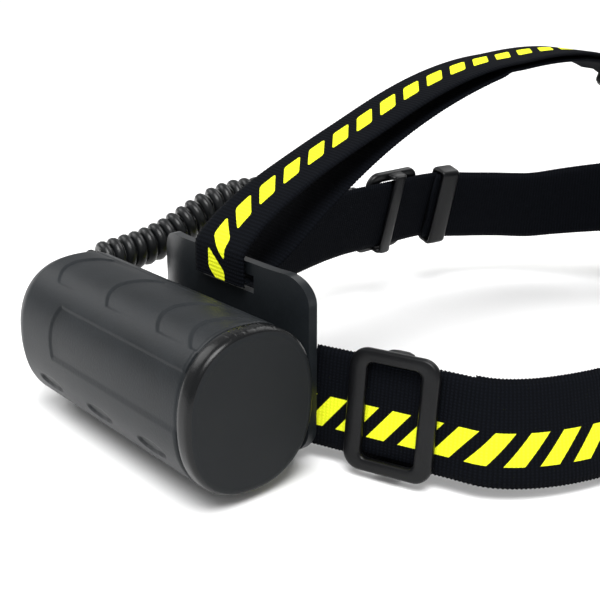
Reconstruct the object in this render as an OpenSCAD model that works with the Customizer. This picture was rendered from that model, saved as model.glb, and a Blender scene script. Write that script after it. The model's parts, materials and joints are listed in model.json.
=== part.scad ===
// Industrial headlamp: rear battery box on a holder plate, lamp head on a
// tilting front bracket, elastic head straps and a curly cable between them.
// +X is the wearer's right, +Y is forward, +Z is up, all in millimetres.
// The lamp stands on the battery box and the focus ring.

/* [Battery box] */
// Length of the battery box body without its end cap
case_l = 96.4; // [84:0.2:116]
// Height of the battery box
case_h = 48; // [47:1:58]
// Depth of the battery box, front to back
case_d = 43.5; // [42:0.5:54]
// Wall of the battery box
case_wall = 2; // [1.6:0.2:3]
// Length of the end cap outside the box
cap_l = 6; // [5.6:0.2:9]
// Gap between the cap's rim and the box
cap_seam = 0.6; // [0.4:0.1:1]
// Diameter of each battery cell
cell_d = 21.2; // [18:0.1:21.4]
// Length of each battery cell
cell_l = 70; // [65:0.5:72]

/* [Holder plate] */
// Sideways offset of the holder plate from the battery box's middle
plate_x = 7; // [0:1:12]
// Half width of the holder plate
plate_hw = 37; // [34:1:46]
// Top of the holder plate above the box's middle
plate_top = 32; // [30:1:42]
// Thickness of the holder plate
plate_t = 3; // [2.4:0.2:4]
// Gap between the battery box and the holder plate
plate_gap = 1.4; // [1:0.1:3]
// Width of the slide rail's head
rail_head_w = 16; // [12:1:18]

/* [Straps] */
// Width of the head strap
strap_w = 32; // [26:1:33]
// Width of the strap over the head
top_strap_w = 26; // [20:1:28]
// Thickness of every strap
strap_t = 1.6; // [1.2:0.1:2]
// Widest point of the head strap on the right, from the plate's middle
bulge_right = 105; // [96:1:118]
// Widest point of the head strap on the left, from the plate's middle
bulge_left = 54; // [48:1:66]
// Length of the slider buckle along the strap
slider_l = 28; // [26:1:32]
// Width of the slider buckle's bars
slider_bar = 5; // [4:0.5:6]

/* [Lamp] */
// Distance from the battery box's middle to the front bracket
loop_l = 250; // [235:1:280]
// Sideways offset of the lamp from the holder plate
lamp_offset = 30; // [20:1:36]
// Diameter of the focus ring
ring_d = 52; // [50:1:60]
// Diameter of the lamp housing behind the ring
housing_d = 44; // [42:1:48]
// Diameter of the hinge pins
pin_d = 8; // [7:0.5:9]
// Distance from the front bracket to the tilt axis
pivot_reach = 30; // [30:1:36]
// Travel of the lens as it is focused
focus_travel = 5; // [3:0.5:6]

/* [Cable] */
// Diameter of the cable
cable_d = 4.2; // [3.6:0.1:4.6]
// Outside diameter of the cable's curls
curl_d = 14.4; // [13:0.2:15]

/* [Hidden] */

fit_gap = 0.3;      // between moving or loose pieces
run_gap = 0.05;     // radial, pins in their bores
eps = 0.02;
section_n = 2.3;    // how square the box's section is
case_x0 = -(case_l + cap_l + cap_seam) / 2;    // far end of the box
case_x1 = case_x0 + case_l;                    // open end of the box
cap_x1 = case_x1 + cap_seam + cap_l;
end_round = 7;      // rounding at the box's far end
plate_y0 = case_d / 2 + plate_gap;             // holder plate's rear face
plate_y1 = plate_y0 + plate_t;
plate_low = -26;
strap_z = -6.8;     // straps' middle where they leave the plate
wing_x = 20;        // where the plate starts to bend towards the head
wing_r = 48;
rail_l = 40;
rail_neck_w = rail_head_w - 6;
rail_head_t = 2.5;
rail_reach = plate_gap + 5;
bracket_y = loop_l;                            // bracket's head side face
bracket_y1 = bracket_y + plate_t;
bracket_z = 14;                                // bracket's middle over the box's middle
bracket_h = 52;
floor_drop = 3.6;                              // the box hangs this far above the floor
ring_z = ring_d / 2 - case_h / 2 - floor_drop; // lamp axis over the box's middle
pivot_y = bracket_y1 + pivot_reach - plate_t;
lamp_front = pivot_y + 34;                     // front rim of the focus ring
ear_t = 4;
ear_x = housing_d / 2 + 3;                     // inner face of each ear from the lamp axis
slot_w = top_strap_w + 4;
bulge_lean = 15;                               // of the straps where they stand widest
gland_l = 10;                                  // of the cable outlet on the box
slip = 0.4;                                    // between the strap and a buckle
bar_t = 2.6;                                   // thickness of a slider's frame
edge_w = 2.2;                                  // width of a slider's rails past the strap
rail_out = slip + 0.2 + edge_w;

// The headband and the lamp are drawn around the holder plate's middle, and the
// battery box around its own. All of it is then moved so that the origin is
// at the bottom middle of the whole.
reach_right = bulge_right + strap_t / 2 * cos(bulge_lean) + strap_w / 2 * sin(bulge_lean);
reach_left = bulge_left + (strap_t / 2 + slip + bar_t) * cos(bulge_lean)
    + (strap_w / 2 + rail_out) * sin(bulge_lean);
reach_gland = plate_x + gland_l - case_x0;
box_x = -(reach_right - max(reach_left, reach_gland)) / 2;
box_y = -(lamp_front - case_d / 2) / 2;
box_z = case_h / 2 + floor_drop;
module place() { translate([box_x, box_y, box_z]) children(); }
module box_place() { place() translate([-plate_x, 0, 0]) children(); }

// Curves
function bezier(p, t) = pow(1 - t, 3) * p[0] + 3 * t * pow(1 - t, 2) * p[1]
    + 3 * t * t * (1 - t) * p[2] + pow(t, 3) * p[3];
function curve(p, n) = [for (i = [0 : n]) bezier(p, i / n)];
function polar(r, a) = [r * cos(a), r * sin(a)];
function superellipse(h, d, n = section_n, steps = 72) = [for (i = [0 : steps - 1])
    let (a = 360 * i / steps, c = cos(a), s = sin(a))
    [d / 2 * sign(c) * pow(abs(c), 2 / n), h / 2 * sign(s) * pow(abs(s), 2 / n)]];

// Strap routes: the plan curve of each side, the height and the lean at
// its stations. Lean tips the strap's top edge inwards.
function join(a, b) = concat(a, [for (i = [1 : len(b) - 1]) b[i]]);
start_x = plate_hw - 3;
start_y = plate_y0 + 8;
exit_a = 20;
slider_stretch = slider_l + 22;
route_r0 = [start_x, start_y];
route_r1 = route_r0 + polar(slider_stretch, exit_a);
route_r2 = [bulge_right, 120];
end_r = [lamp_offset + plate_hw - 3, bracket_y - 6];
end_l = [lamp_offset - plate_hw + 3, bracket_y - 6];
route_right = join(join([for (i = [0 : 5]) route_r0 + polar(slider_stretch * i / 5, exit_a)],
    curve([route_r1, route_r1 + polar(14, exit_a), route_r2 - [0, 36], route_r2], 10)),
    curve([route_r2, route_r2 + [0, 55], end_r + [32, -10], end_r], 12));
route_l1 = [-bulge_left, 124];
route_l2 = route_l1 + [0, slider_stretch];
route_left = join(join(
    curve([[-start_x, start_y], [-start_x - 12, start_y + 6], route_l1 - [0, 50], route_l1], 10),
    [for (i = [0 : 5]) route_l1 + [0, slider_stretch * i / 5]]),
    curve([route_l2, route_l2 + [0, 28], end_l + [-26, -12], end_l], 12));
drop_right = [[0, strap_z], [5, strap_z], [9, -8], [12, -8.6], [17, -7], [21, -5], [27, 14]];
drop_left = [[0, strap_z], [5, 4], [10, 12], [15, 12], [18, 9.6], [22, 8], [27, 14]];
lean_right = [[0, 8], [5, 8], [10, bulge_lean], [15, bulge_lean], [23, 12], [27, 2]];
lean_left = [[0, 6], [10, bulge_lean], [21, bulge_lean], [27, 2]];
function heading(p, i) = let (a = p[max(floor(i) - 1, 0)], b = p[min(floor(i) + 1, len(p) - 1)])
    atan2(b[1] - a[1], b[0] - a[0]);
function spot(p, i) = let (k = min(floor(i), len(p) - 2)) p[k] + (p[k + 1] - p[k]) * (i - k);

// One corner of a strap's section: u is across its thickness, outwards, and
// w is along its width, upwards.
function strap_corner(p, a, z, lean, side, u, w) =
    let (n = side * [sin(a), -cos(a)])
    [p[0] + n[0] * (u * cos(lean) - w * sin(lean)),
     p[1] + n[1] * (u * cos(lean) - w * sin(lean)),
     z + w * cos(lean) + u * sin(lean)];
module ribbon(route, drop, lean, side, from, to, shift_out = 0) {
    rings = [for (i = [from : to])
        [for (c = [[-1, -1], [1, -1], [1, 1], [-1, 1]])
            strap_corner(route[i], heading(route, i), lookup(i, drop), lookup(i, lean), side,
                shift_out + c[0] * strap_t / 2, c[1] * strap_w / 2)]];
    loft(rings, side < 0);
}
// Puts a piece on a strap: X along the strap, -Y outwards, Z along its width
module on_strap(route, drop, lean, side, i) {
    p = spot(route, i);
    translate([p[0], p[1], lookup(i, drop)]) rotate([0, 0, heading(route, i)])
        rotate([-side * lookup(i, lean), 0, 0]) mirror([0, side < 0 ? 1 : 0, 0]) children();
}
// Closed tube through rings of points
module loft(rings, flip = false) {
    n = len(rings[0]);
    m = len(rings);
    pts = [for (r = rings) for (q = r) q];
    sides = [for (i = [0 : m - 2]) for (j = [0 : n - 1])
        let (a = i * n + j, b = i * n + (j + 1) % n) each [[a, a + n, b + n], [a, b + n, b]]];
    ends = concat([for (j = [1 : n - 2]) [0, j, j + 1]],
        [for (j = [1 : n - 2]) [(m - 1) * n, (m - 1) * n + j + 1, (m - 1) * n + j]]);
    faces = concat(sides, ends);
    polyhedron(pts, flip ? faces : [for (f = faces) [f[0], f[2], f[1]]]);
}
// Extrudes a side view drawn as [y, z] along X
module along_x(x0, x1) {
    translate([x0, 0, 0]) rotate([90, 0, 90]) linear_extrude(x1 - x0) children();
}
module cyl_x(x0, x1, d) { translate([x0, 0, 0]) rotate([0, 90, 0]) cylinder(h = x1 - x0, d = d, $fn = 48); }
module cyl_y(y0, y1, d, d2 = -1) {
    translate([0, y0, 0]) rotate([-90, 0, 0])
        cylinder(h = y1 - y0, d1 = d, d2 = d2 < 0 ? d : d2, $fn = 64);
}
module rounded(w, h, r) {
    translate([-w / 2 + r, -h / 2 + r]) square([w - 2 * r, h - 2 * r]);
    for (sx = [-1, 1], sy = [-1, 1]) translate([sx * (w / 2 - r), sy * (h / 2 - r)]) circle(r, $fn = 32);
    translate([-w / 2, -h / 2 + r]) square([w, h - 2 * r]);
    translate([-w / 2 + r, -h / 2]) square([w - 2 * r, h]);
}

// ---- battery box ----
module case_section(inset) { polygon(superellipse(case_h - 2 * inset, case_d - 2 * inset)); }
rail_y = plate_y0 - rail_reach;                 // inner face of the rail's head
boss_y = rail_y - fit_gap - case_wall;
boss_h = rail_head_w + 2 * fit_gap + 2 * case_wall;
stop_x = plate_x + rail_l / 2 + fit_gap;        // end of the channel
module rail_channel() {
    translate([case_x0 - 1, rail_y - fit_gap, -rail_head_w / 2 - fit_gap])
        cube([stop_x - case_x0 + 1, rail_head_t + 2 * fit_gap, rail_head_w + 2 * fit_gap]);
    translate([case_x0 - 1, rail_y, -rail_neck_w / 2 - fit_gap])
        cube([stop_x - case_x0 + 1, case_d, rail_neck_w + 2 * fit_gap]);
}
port_y = -6;
port_z = -9;
gland_y = -3;
gland_z = 4;
module battery_case() color([0.15, 0.16, 0.17]) box_place() {
    difference() {
        union() {
            difference() {
                union() {
                    along_x(case_x0 + end_round, case_x1) case_section(0);
                    hull() {
                        along_x(case_x0 + end_round - 0.01, case_x0 + end_round) case_section(0);
                        along_x(case_x0 + 2.2, case_x0 + 2.21) case_section(1.8);
                        along_x(case_x0, case_x0 + 0.01) case_section(5);
                    }
                }
                along_x(case_x0 + 3, case_x1 + 1) case_section(case_wall);
            }
            intersection() {
                along_x(case_x0 + 4, case_x1 - 14) case_section(0.5);
                translate([case_x0 + 3, boss_y, -boss_h / 2])
                    cube([stop_x + case_wall - case_x0 - 3, case_d, boss_h]);
            }
        }
        rail_channel();
        translate([case_x0 - 1, port_y, port_z]) rotate([0, 90, 0]) cylinder(h = 6, d = 8, $fn = 32);
        translate([case_x0 - 1, gland_y, gland_z]) rotate([0, 90, 0]) cylinder(h = 6, d = 6, $fn = 32);
        translate([case_x0 + 9, -case_d / 2 - 1, -6]) cube([case_l - 16, 1.6, 18]);
    }
}
cell_z = cell_d / 2 + fit_gap;
cap_x0 = case_x1 + cap_seam;
cap_floor = cap_x0 + 3.6;                       // bottom of the cap's hollow
spigot_l = 6;
spigot_wall = 2.4;
bevel = 1.6;
rib_pitch = 1.1;
module case_cap() color([0.05, 0.05, 0.055]) box_place() difference() {
    spigot_x = case_x1 - spigot_l;
    union() {
        along_x(cap_x0, cap_x1 - bevel) case_section(0);
        hull() {
            along_x(cap_x1 - bevel - 0.01, cap_x1 - bevel) case_section(0);
            along_x(cap_x1 - 0.01, cap_x1) case_section(bevel);
        }
        along_x(spigot_x, cap_x0 + 0.1) case_section(case_wall + fit_gap);
        for (i = [0 : 3]) intersection() {
            along_x(cap_x0 + 0.4 + i * rib_pitch, cap_x0 + 1 + i * rib_pitch) case_section(-0.2);
            translate([cap_x0, 1, 0]) cube([cap_l, 11, case_h]);
        }
    }
    along_x(spigot_x - 1, cap_floor) case_section(case_wall + fit_gap + spigot_wall);
    for (s = [-1, 1]) translate([0, 0, s * cell_z]) cyl_x(spigot_x - 1, cap_floor, cell_d + 2 * fit_gap);
}
// Flat gasket in the seam between the cap and the box
module cap_seal() color([0.1, 0.1, 0.1]) box_place() along_x(case_x1 + eps, cap_x0) difference() {
    case_section(0.6);
    case_section(case_wall);
}
contact_t = 1;
cell_x0 = cap_floor - contact_t - 1.2 - cell_l;
module cap_contact() color([0.8, 0.65, 0.3]) box_place() {
    translate([cap_floor - contact_t, -5, -cell_z - 5]) cube([contact_t, 10, 2 * cell_z + 10]);
}
module cell(s) {
    translate([0, 0, s * cell_z]) {
        cyl_x(cell_x0, cell_x0 + cell_l, cell_d);
        cyl_x(cell_x0 + cell_l - 0.1, cell_x0 + cell_l + 1, 8);
    }
}
module cell_upper() color([0.2, 0.4, 0.65]) box_place() cell(1);
module cell_lower() color([0.2, 0.4, 0.65]) box_place() cell(-1);
module cell_cradle() color([0.1, 0.1, 0.1]) box_place() difference() {
    translate([cell_x0 + 3, -case_d / 2 + case_wall + 1.2, -9])
        cube([cell_l - spigot_l - 8, case_d / 2 - case_wall - 3, 18]);
    for (s = [-1, 1]) translate([0, 0, s * cell_z]) cyl_x(cell_x0, cell_x0 + cell_l, cell_d + 2 * fit_gap);
}
spring_d = 9;
module contact_springs() color([0.8, 0.8, 0.8]) box_place() for (s = [-1, 1]) translate([0, 0, s * cell_z])
    for (i = [0 : 2]) translate([cell_x0 - 0.55 - i * 1.0, 0, 0]) rotate([0, 90, 0])
        rotate_extrude($fn = 32) translate([spring_d / 2 - 1 - i * 0.3, 0]) circle(d = 1, $fn = 16);
board_x = cell_x0 - 3.3;
module charge_board() color([0.1, 0.35, 0.2]) box_place() {
    translate([board_x - 1.2, -11, -18]) cube([1.2, 22, 36]);
}
module charge_socket() color([0.7, 0.7, 0.72]) box_place() difference() {
    translate([case_x0 + 3.3, port_y, port_z]) rotate([0, 90, 0]) linear_extrude(board_x - 1.2 - case_x0 - 3.3 - eps)
        rounded(3.4, 9, 1.5);
    translate([case_x0 + 2, port_y, port_z]) rotate([0, 90, 0]) linear_extrude(4) rounded(2.4, 8, 1.1);
}
flap_r = 6;
flap_hinge_z = port_z - flap_r - 1.6;
flap_t = 1.4;
module socket_flap() color([0.08, 0.08, 0.08]) box_place() difference() {
    union() {
        translate([0, port_y, port_z]) {
            cyl_x(case_x0 - fit_gap - flap_t, case_x0 - fit_gap, 2 * flap_r);
            cyl_x(case_x0 - fit_gap - 0.1, case_x0 + 0.8, 7.2);
        }
        translate([case_x0 - fit_gap - 2.4, port_y - 2.5, flap_hinge_z]) cube([2.4, 5, 3.4]);
        translate([case_x0 - fit_gap - 1.2, port_y - 2.5, flap_hinge_z]) rotate([-90, 0, 0]) cylinder(h = 5, d = 2.4, $fn = 24);
    }
    translate([case_x0 - fit_gap - 1.2, port_y - 3, flap_hinge_z]) rotate([-90, 0, 0])
        cylinder(h = 6, d = 1.2 + 2 * run_gap, $fn = 24);
}
module flap_pin() color([0.7, 0.7, 0.7]) box_place() {
    translate([case_x0 - fit_gap - 1.2, port_y - 4.4, flap_hinge_z]) rotate([-90, 0, 0]) cylinder(h = 8.8, d = 1.2, $fn = 24);
    for (s = [-1, 1]) translate([case_x0 - fit_gap - 1.8, port_y + s * 3.8 - 0.6, flap_hinge_z - 0.8])
        cube([fit_gap + 1.8, 1.2, 1.6]);
}
module case_gland() color([0.07, 0.07, 0.07]) box_place() translate([0, gland_y, gland_z]) {
    cyl_x(case_x0 - 2, case_x0 + 5, 6 - 2 * run_gap);
    cyl_x(case_x0 - 2.2, case_x0 - 0.2, 9);
    for (i = [0 : 3]) cyl_x(case_x0 - 4 - 2 * i, case_x0 - 2.7 - 2 * i, 7.6 - 0.4 * i);
    cyl_x(case_x0 - gland_l, case_x0 - 2, 5.6);
}

// ---- holder plate and bracket: a plate whose wings bend towards the head ----
module bent_plan(hw) {
    wing_a = asin((hw + 2 - wing_x) / wing_r);
    translate([-wing_x, 0]) square([2 * wing_x, plate_t]);
    for (s = [0, 1]) mirror([s, 0]) translate([wing_x, wing_r]) rotate(-90) difference() {
        intersection() {
            circle(wing_r, $fn = 96);
            polygon([[0, 0], polar(2 * wing_r, 0), polar(2 * wing_r, wing_a)]);
        }
        circle(wing_r - plate_t, $fn = 96);
    }
}
// Plate with its rear face on y = 0, bending towards +Y
module bent_plate(hw, z0, z1, r) intersection() {
    translate([0, 0, z0 - 1]) linear_extrude(z1 - z0 + 2) bent_plan(hw);
    translate([0, wing_r, (z0 + z1) / 2]) rotate([90, 0, 0]) linear_extrude(2 * wing_r) rounded(2 * hw, z1 - z0, r);
}
strap_slot_x = plate_hw - 7;
module holder_plate() color([0.17, 0.18, 0.19]) place() {
    difference() {
        translate([0, plate_y0, 0]) bent_plate(plate_hw, plate_low, plate_top, 9);
        translate([-slot_w / 2, plate_y0 - 1, plate_top - 9.5]) cube([slot_w, 12, 5.6]);
        for (s = [-1, 1]) translate([s * strap_slot_x - 2, plate_y0 - 1, strap_z - strap_w / 2 - 1])
            cube([4, 14, strap_w + 2]);
    }
    translate([-rail_l / 2, rail_y, -rail_head_w / 2]) cube([rail_l, rail_head_t, rail_head_w]);
    translate([-rail_l / 2, rail_y, -rail_neck_w / 2]) cube([rail_l, plate_y0 - rail_y + 1, rail_neck_w]);
}
pad_t = 5;
pad_gap = 0.6;      // clears the start of the wings
module rear_pad() color([0.1, 0.1, 0.11]) place()
    translate([0, plate_y1 + pad_t + pad_gap, 0]) rotate([90, 0, 0]) linear_extrude(pad_t)
    translate([0, -3]) rounded(2 * strap_slot_x - 10, 38, 8);

// ---- head straps ----
last_r = len(route_right) - 1;
last_l = len(route_left) - 1;
layer_gap = 0.6;
layer_step = strap_t + layer_gap;
module strap_right() color([0.04, 0.045, 0.06]) place()
    ribbon(route_right, drop_right, lean_right, 1, 0, last_r);
module strap_right_return() color([0.04, 0.045, 0.06]) place()
    ribbon(route_right, drop_right, lean_right, 1, 5, last_r, -layer_step);
module strap_left() color([0.04, 0.045, 0.06]) place()
    ribbon(route_left, drop_left, lean_left, -1, 0, last_l);
module strap_left_return() color([0.04, 0.045, 0.06]) place()
    ribbon(route_left, drop_left, lean_left, -1, 15, last_l, -layer_step);

// Three-bar slider: side bars outside the strap, middle bar behind it
module slider(w) {
    out = strap_t / 2 + slip;
    edge = w / 2 + rail_out;
    translate([0, -out, 0]) rotate([90, 0, 0]) linear_extrude(bar_t) difference() {
        rounded(slider_l, 2 * edge, 4);
        rounded(slider_l - 2 * slider_bar, 2 * (edge - edge_w) - 0.2, 2);
    }
    for (s = [-1, 1]) translate([-slider_l / 2 + 4, -out - 0.1, s * (edge - edge_w + 1.6) - 1.6])
        cube([slider_l - 8, 2 * out + 0.2, 3.2]);
    translate([-slider_bar / 2, out, -edge + 0.3]) cube([slider_bar, 1.8, 2 * edge - 0.6]);
}
stretch_step = slider_stretch / 5;
slider_at = (slider_l / 2 + 13) / stretch_step;
module slider_right() color([0.03, 0.03, 0.035]) place()
    on_strap(route_right, drop_right, lean_right, 1, slider_at) slider(strap_w);
module slider_left() color([0.03, 0.03, 0.035]) place()
    on_strap(route_left, drop_left, lean_left, -1, 10 + slider_at) slider(strap_w);
// Loop that holds the two layers together
keeper_t = 1.6;
keeper_l = 9;
keeper_slip = 0.8;
keeper_in = 2 * strap_t + layer_gap + 2 * keeper_slip;
module keeper() difference() {
    translate([-keeper_l / 2, -strap_t / 2 - keeper_slip - keeper_t, -strap_w / 2 - slip - keeper_t])
        cube([keeper_l, keeper_in + 2 * keeper_t, strap_w + 2 * slip + 2 * keeper_t]);
    translate([-keeper_l, -strap_t / 2 - keeper_slip, -strap_w / 2 - slip])
        cube([2 * keeper_l, keeper_in, strap_w + 2 * slip]);
}
keeper_i = 16;                                 // stations of the keepers
keeper_right_i = 20;
module keeper_right() color([0.03, 0.03, 0.035]) place()
    on_strap(route_right, drop_right, lean_right, 1, keeper_right_i) keeper();
module keeper_left() color([0.03, 0.03, 0.035]) place()
    on_strap(route_left, drop_left, lean_left, -1, keeper_i) keeper();

// ---- strap over the head: a side view [y, z] from the plate's rear face ----
span = bracket_y1 - plate_y0;
skew = atan2(lamp_offset, span);
bar_top = bracket_z + bracket_h / 2;           // top of the front bracket
top_flat = [[168, 78], [206, 57]];             // straight stretch under the top slider
top_mid = [[52, 66.7], [112, 84.2]];
top_rise = join(curve([[-strap_t, plate_top + 2], [8, plate_top + 15.5], [34, 58.5], top_mid[0]], 6),
    curve([top_mid[0], [66, 73.2], [86, 83], top_mid[1]], 6));
top_fall = curve([top_mid[1], [132, 86.5], [152, 86.8], top_flat[0]], 5);
top_end = curve([top_flat[1], top_flat[1] + [12, -5.5], [span - 4, bar_top + 8], [span + strap_t, bar_top + 1]], 6);
top_route = join(join(join(join([[-strap_t, plate_top - 8], [-strap_t, plate_top - 3], top_rise[0]], top_rise),
    top_fall), [for (i = [0 : 4]) top_flat[0] + (top_flat[1] - top_flat[0]) * i / 4]),
    join(top_end, [[span + strap_t, bar_top - 3], [span + strap_t, bar_top - 8]]));
top_flat_i = 2 + 12 + 5;                       // station where the straight stretch starts
inner_rise = curve([[3, plate_top - 6.6], [22, plate_top - 3], [39, 64], [104, 80.5]], 12);
module top_ring_loft(route, shift_in) {
    n = len(route) - 1;
    rings = [for (i = [0 : n]) let (a = heading(route, i), p = route[i] + shift_in * [sin(a), -cos(a)],
        turn = skew * min(1, max(0, p[0] / 30), max(0, (span - p[0]) / 30)))
        [for (c = [[-1, -1], [1, -1], [1, 1], [-1, 1]])
            let (q = p + c[1] * strap_t / 2 * [-sin(a), cos(a)], w = c[0] * top_strap_w / 2)
            [p[0] * tan(skew) + w * cos(turn), plate_y0 + q[0] - w * sin(turn), q[1]]]];
    loft(rings, false);
}
module top_strap() color([0.04, 0.045, 0.06]) place() top_ring_loft(top_route, 0);
top_return_route = join(join([[-strap_t / 2 + 0.2, plate_top - 6.7], inner_rise[0]], inner_rise),
    [for (i = [12 : top_flat_i - 1]) top_route[i] + layer_step * [sin(heading(top_route, i)), -cos(heading(top_route, i))]]);
module top_strap_return() color([0.04, 0.045, 0.06]) place() top_ring_loft(top_return_route, 0);
module on_top_strap(along_flat) {
    a = atan2(top_flat[1][1] - top_flat[0][1], top_flat[1][0] - top_flat[0][0]);
    p = top_flat[0] + polar(along_flat, a);
    translate([p[0] * tan(skew), plate_y0 + p[0], p[1]]) rotate([0, 0, -skew])
        multmatrix([[0, 0, -1, 0], [cos(a), sin(a), 0, 0], [sin(a), -cos(a), 0, 0], [0, 0, 0, 1]]) children();
}
module slider_top() color([0.03, 0.03, 0.035]) place() on_top_strap(slider_l / 2 + 2) slider(top_strap_w);

// ---- front bracket ----
ear_r = pin_d / 2 + 5;
module front_bracket() color([0.08, 0.08, 0.085]) place() translate([lamp_offset, 0, 0]) difference() {
    union() {
        difference() {
            translate([0, bracket_y1, 0]) rotate([0, 0, 180])
                bent_plate(plate_hw, bracket_z - bracket_h / 2, bar_top, 9);
            translate([-slot_w / 2, bracket_y - 2, bar_top - 9.5]) cube([slot_w, 12, 5.6]);
            for (s = [-1, 1]) translate([s * strap_slot_x - 2, bracket_y - 12, bracket_z - strap_w / 2 - 0.8])
                cube([4, 16, strap_w + 1.6]);
        }
        for (s = [0, 1]) mirror([s, 0, 0]) {
            translate([ear_x, bracket_y1 - 1, ring_z - ear_r]) cube([ear_t, pivot_y - bracket_y1 + 1, 2 * ear_r]);
            translate([0, pivot_y, ring_z]) cyl_x(ear_x, ear_x + ear_t, 2 * ear_r);
        }
    }
    translate([0, pivot_y, ring_z]) cyl_x(-ear_x - ear_t - 1, ear_x + ear_t + 1, pin_d + 2 * run_gap);
}
module front_pad() color([0.1, 0.1, 0.11]) place()
    translate([lamp_offset, bracket_y - pad_gap, bracket_z - 2]) rotate([90, 0, 0]) linear_extrude(pad_t)
    rounded(2 * strap_slot_x - 10, 38, 8);

// ---- lamp head, drawn with its axis along Y through the tilt axis ----
module lamp_place() place() translate([lamp_offset, pivot_y, ring_z]) children();
bay_d = housing_d - 9.4;                       // rear bay of the housing
tube_d = housing_d - 5;                        // front bore, where the lens slides
seat_y = -(pin_d / 2 + 3);                     // rear face of the housing
seal_t = 0.4;
flange_t = 2.6;
flange_y = seat_y - seal_t - flange_t;
back_y = flange_y - 7.5;
boss_x = ear_x - 1;
button_y = 7.5;
button_d = 9;
deck_z = housing_d / 2 + 4.4;                  // top of the switch housing
screw_r = housing_d / 2 - 2.4;
screw_d = 1.6;
module screw_spots() for (a = [45 : 90 : 315]) rotate([0, a, 0]) translate([screw_r, 0, 0]) children();
module lamp_housing() color([0.07, 0.07, 0.075]) lamp_place() difference() {
    union() {
        cyl_y(seat_y, 30, housing_d);
        cyl_x(-boss_x, boss_x, pin_d + 5);
        translate([-8, 1.5, 15]) cube([16, 12, deck_z - 15]);
    }
    cyl_y(seat_y - 1, 10, bay_d);
    cyl_y(9.9, 31, tube_d);
    for (s = [0, 1]) mirror([s, 0, 0]) cyl_x(bay_d / 2 - 1, boss_x + 1, pin_d + 0.04);
    translate([0, button_y, deck_z - 5.6]) cylinder(h = 4.4, d = button_d + 2, $fn = 48);
    translate([0, button_y, deck_z - 2]) cylinder(h = 4, d = button_d + 0.6, $fn = 48);
    screw_spots() cyl_y(seat_y - 1, seat_y + 5, screw_d);
}
module housing_back() color([0.3, 0.31, 0.32]) lamp_place() difference() {
    union() {
        cyl_y(flange_y, flange_y + flange_t, housing_d);
        cyl_y(back_y, flange_y + 0.1, 24);
        for (i = [0 : 2]) cyl_y(back_y + i * 2.5, back_y + i * 2.5 + 1.3, 34);
    }
    cyl_y(back_y + 3, seat_y, stem_d + 2 * run_gap);
    screw_spots() cyl_y(flange_y - 1, seat_y, screw_d);
}
module back_seal() color([0.1, 0.1, 0.1]) lamp_place() difference() {
    cyl_y(seat_y - seal_t, seat_y, housing_d - 1);
    cyl_y(seat_y - 1, seat_y + 1, bay_d);
    screw_spots() cyl_y(seat_y - 1, seat_y + 1, screw_d);
}
module back_screws() color([0.7, 0.7, 0.72]) lamp_place() screw_spots() {
    cyl_y(flange_y - 1.2, flange_y, 3.2);
    cyl_y(flange_y - 0.1, seat_y + 4.6, screw_d - 0.04);
}
stem_d = 19.8;
module heat_sink() color([0.75, 0.76, 0.78]) lamp_place() {
    cyl_y(back_y + 3.2, -1.9, stem_d);
    cyl_y(-1.9, 0.4, bay_d - 0.4);
}
module led_board() color([0.9, 0.9, 0.9]) lamp_place() cyl_y(0.4, 1.8, 28);
module led_emitter() color([0.95, 0.85, 0.3]) lamp_place() {
    translate([-2.6, 1.8, -2.6]) cube([5.2, 0.8, 5.2]);
    cyl_y(2.5, 3.2, 4);
}
module reflector() color([0.85, 0.85, 0.86]) lamp_place() difference() {
    cyl_y(2, 9.6, 14, bay_d - 0.6);
    cyl_y(1.9, 9.7, 8, bay_d - 3);
}
carrier_d = tube_d - 0.6;
lens_y0 = 21;
lens_y1 = 26;
lens_d = carrier_d - 3;
module lens_carrier() color([0.12, 0.12, 0.12]) lamp_place() difference() {
    cyl_y(11, 27, carrier_d);
    cyl_y(10, 19, carrier_d - 3.4);
    cyl_y(18.9, 21, carrier_d - 7);
    cyl_y(20.6, 28, lens_d + 0.1);
}
module lens_seal() color([0.1, 0.1, 0.1]) lamp_place() difference() {
    cyl_y(20.6, lens_y0, lens_d);
    cyl_y(20, 22, carrier_d - 6.8);
}
module lens() color([0.8, 0.9, 1.0, 0.4]) lamp_place() {
    cyl_y(lens_y0, lens_y1, lens_d);
    intersection() {
        translate([0, lens_y1 - 44, 0]) sphere(r = 46.5, $fn = 96);
        cyl_y(lens_y1 - 0.1, lens_y1 + 4, lens_d - 3);
    }
}
ring_y0 = 15;
module focus_ring() color([0.06, 0.06, 0.065]) lamp_place() difference() {
    union() {
        cyl_y(ring_y0, 32.6, ring_d);
        cyl_y(32.6, lamp_front - pivot_y, ring_d, ring_d - 3);
    }
    cyl_y(ring_y0 - 1, 30.3, housing_d + 2 * run_gap);
    cyl_y(30, 40, tube_d + 0.4);
    for (i = [0 : 23]) rotate([0, 7.5 + i * 15, 0]) translate([ring_d / 2 + 0.9, 0, 0]) cyl_y(ring_y0 + 4, 30, 3.4);
}
module switch_board() color([0.1, 0.35, 0.2]) lamp_place()
    translate([0, button_y, deck_z - 5.5]) cylinder(h = 0.6, d = button_d + 1.6, $fn = 48);
press = 1.2;
module switch_button() color([0.1, 0.1, 0.1]) lamp_place() translate([0, button_y, 0]) {
    translate([0, 0, deck_z - 3.4]) cylinder(h = 0.9, d = button_d + 1.4, $fn = 48);
    translate([0, 0, deck_z - 3.4]) cylinder(h = 4.8, d = button_d, $fn = 48);
}
module button_boot() color([0.12, 0.12, 0.12]) lamp_place() translate([0, button_y, deck_z]) difference() {
    cylinder(h = 0.6, d = button_d + 2.6, $fn = 48);
    translate([0, 0, -1]) cylinder(h = 3, d = button_d + 0.6, $fn = 48);
}
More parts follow.
